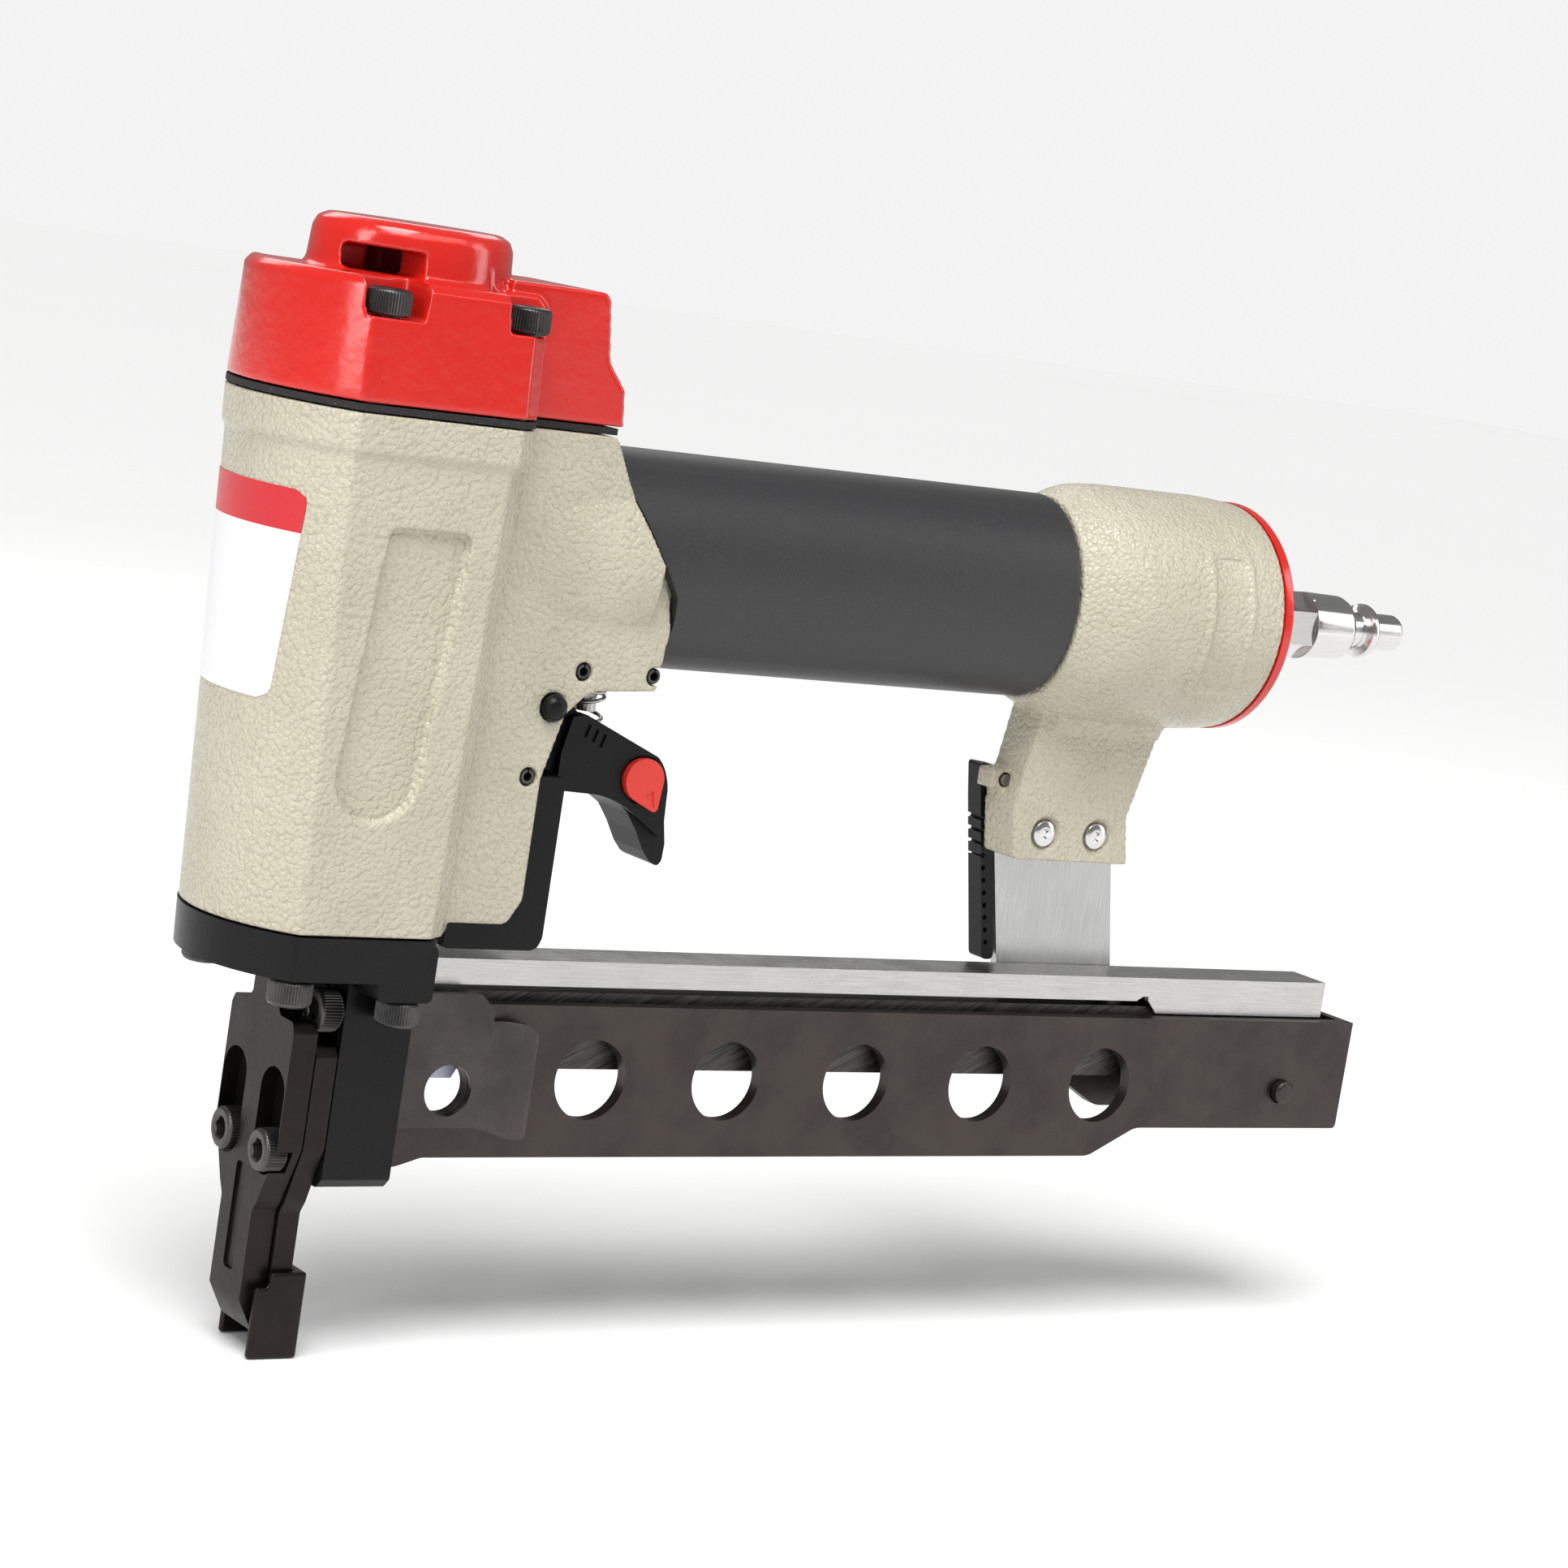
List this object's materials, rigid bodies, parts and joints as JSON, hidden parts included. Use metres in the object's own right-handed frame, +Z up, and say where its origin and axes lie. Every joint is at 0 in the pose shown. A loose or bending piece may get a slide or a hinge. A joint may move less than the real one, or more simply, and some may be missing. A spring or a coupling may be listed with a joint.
{
  "type": "pneumatic stapler",
  "caption": "Hand-held pneumatic stapler with oval grip, finger trigger, nose safety and long slide-back magazine.",
  "frame": {"origin": "middle of the contact foot's rear wall, on its lower face, where the tool meets the work", "axes": "+X back along the handle and magazine to the air plug, +Y to the operator's right, +Z up the cylinder to the cap"},
  "size_m": [0.2919, 0.0516, 0.2173],
  "materials": {
    "paint": "hammertone beige enamel on die-cast metal",
    "red": "glossy red enamel on die-cast metal",
    "seal": "granular fibre gasket and black seals",
    "rubber": "satin charcoal moulded rubber",
    "bumper": "cast urethane bumper",
    "steel": "brushed stainless steel",
    "alu": "turned aluminium",
    "black": "satin black coated cast steel",
    "black_plastic": "grained black glass-filled nylon",
    "red_plastic": "satin red moulded plastic",
    "blued": "brown-black oxide on hardened steel",
    "screw": "black oxide alloy steel screws and pins",
    "zinc": "lavender-grey zinc die casting",
    "nickel": "polished nickel plate",
    "brass": "spring bronze wire"
  },
  "bodies": {
    "root": {"housing": "paint", "cylinder_cap": "red", "cap_gasket": "seal", "grip_sleeve": "rubber", "end_cap": "red", "inlet_bushing": "black", "air_plug": "nickel", "cylinder_sleeve": "steel", "bumper": "bumper", "head_valve_spring": "steel", "nose_base": "black", "driver_guide": "blued", "front_plate": "blued", "nose_block": "black", "contact_arm_spring": "steel", "arm_cover": "black_plastic", "trigger_pin": "screw", "trigger_spring": "steel", "valve_housing": "black_plastic", "top_rail": "steel", "staple_core": "blued", "core_pin": "steel", "rail_end_block": "steel", "guide_plate_left": "blued", "guide_plate_right": "blued", "pusher_spring": "brass", "guide_rod": "steel", "rear_bracket": "steel", "lever_pin": "steel", "bracket_rivet_front": "nickel", "bracket_rivet_rear": "nickel", "cap_screw_1": "screw", "base_screw_1": "screw", "cap_screw_2": "screw", "base_screw_2": "screw", "cap_screw_3": "screw", "base_screw_3": "screw", "cap_screw_4": "screw", "base_screw_4": "screw", "upper_nose_screw_left": "screw", "upper_nose_screw_right": "screw", "lower_nose_screw_left": "screw", "lower_nose_screw_right": "screw", "roll_pin_front": "screw", "roll_pin_rear": "screw", "roll_pin_lower": "screw"},
    "trigger": {"trigger": "black_plastic"},
    "trigger_lever": {"trigger_lever": "steel"},
    "selector": {"selector": "red_plastic"},
    "valve_stem": {"valve_stem": "steel"},
    "contact_arm": {"contact_foot": "blued", "contact_arm": "steel"},
    "driver": {"piston": "alu", "piston_ring": "seal", "driver_blade": "steel"},
    "head_valve": {"head_valve": "black_plastic"},
    "magazine": {"magazine_channel": "blued", "magazine_pin": "blued"},
    "pusher": {"pusher": "zinc"},
    "release_lever": {"release_lever": "black"}
  },
  "joints": [
    {"name": "trigger_pull", "type": "hinge", "parent": "root", "child": "trigger", "pos_m": [0.0329, 0, 0.1305], "axis": [0, -1, 0], "range_deg": [0, 8], "stiffness_Nm_per_rad": 0.6, "springref_deg": -8.59, "deforming": ["trigger_spring"]},
    {"name": "lever_swing", "type": "hinge", "parent": "trigger", "child": "trigger_lever", "pos_m": [0.0606, 0, 0.1162], "axis": [0, 1, 0], "range_deg": [0, 11]},
    {"name": "selector_turn", "type": "hinge", "parent": "trigger", "child": "selector", "pos_m": [0.0606, 0, 0.1162], "axis": [0, 1, 0], "range_deg": [0, 180]},
    {"name": "valve_stem_slide", "type": "slide", "parent": "root", "child": "valve_stem", "axis": [0, 0, 1], "range_m": [0, 0.002], "stiffness_N_per_m": 300, "springref_m": -0.002},
    {"name": "contact_arm_slide", "type": "slide", "parent": "root", "child": "contact_arm", "axis": [0, 0, 1], "range_m": [0, 0.0048], "stiffness_N_per_m": 400, "springref_m": -0.006, "deforming": ["contact_arm_spring"]},
    {"name": "driver_stroke", "type": "slide", "parent": "root", "child": "driver", "axis": [0, 0, -1], "range_m": [0, 0.065]},
    {"name": "head_valve_lift", "type": "slide", "parent": "root", "child": "head_valve", "axis": [0, 0, 1], "range_m": [0, 0.003], "stiffness_N_per_m": 800, "springref_m": -0.004, "deforming": ["head_valve_spring"]},
    {"name": "magazine_slide", "type": "slide", "parent": "root", "child": "magazine", "axis": [1, 0, 0], "range_m": [0, 0.12]},
    {"name": "pusher_slide", "type": "slide", "parent": "root", "child": "pusher", "axis": [1, 0, 0], "range_m": [0, 0.15], "stiffness_N_per_m": 40, "springref_m": -0.05, "deforming": ["pusher_spring"]},
    {"name": "release_lever_swing", "type": "hinge", "parent": "root", "child": "release_lever", "pos_m": [0.1566, 0, 0.1194], "axis": [0, 1, 0], "range_deg": [0, 10], "stiffness_Nm_per_rad": 0.2, "springref_deg": -8.59}
  ],
  "couplings": [
    {"joint": "lever_swing", "follows": "contact_arm_slide", "rad_per_m": 39.2}
  ]
}
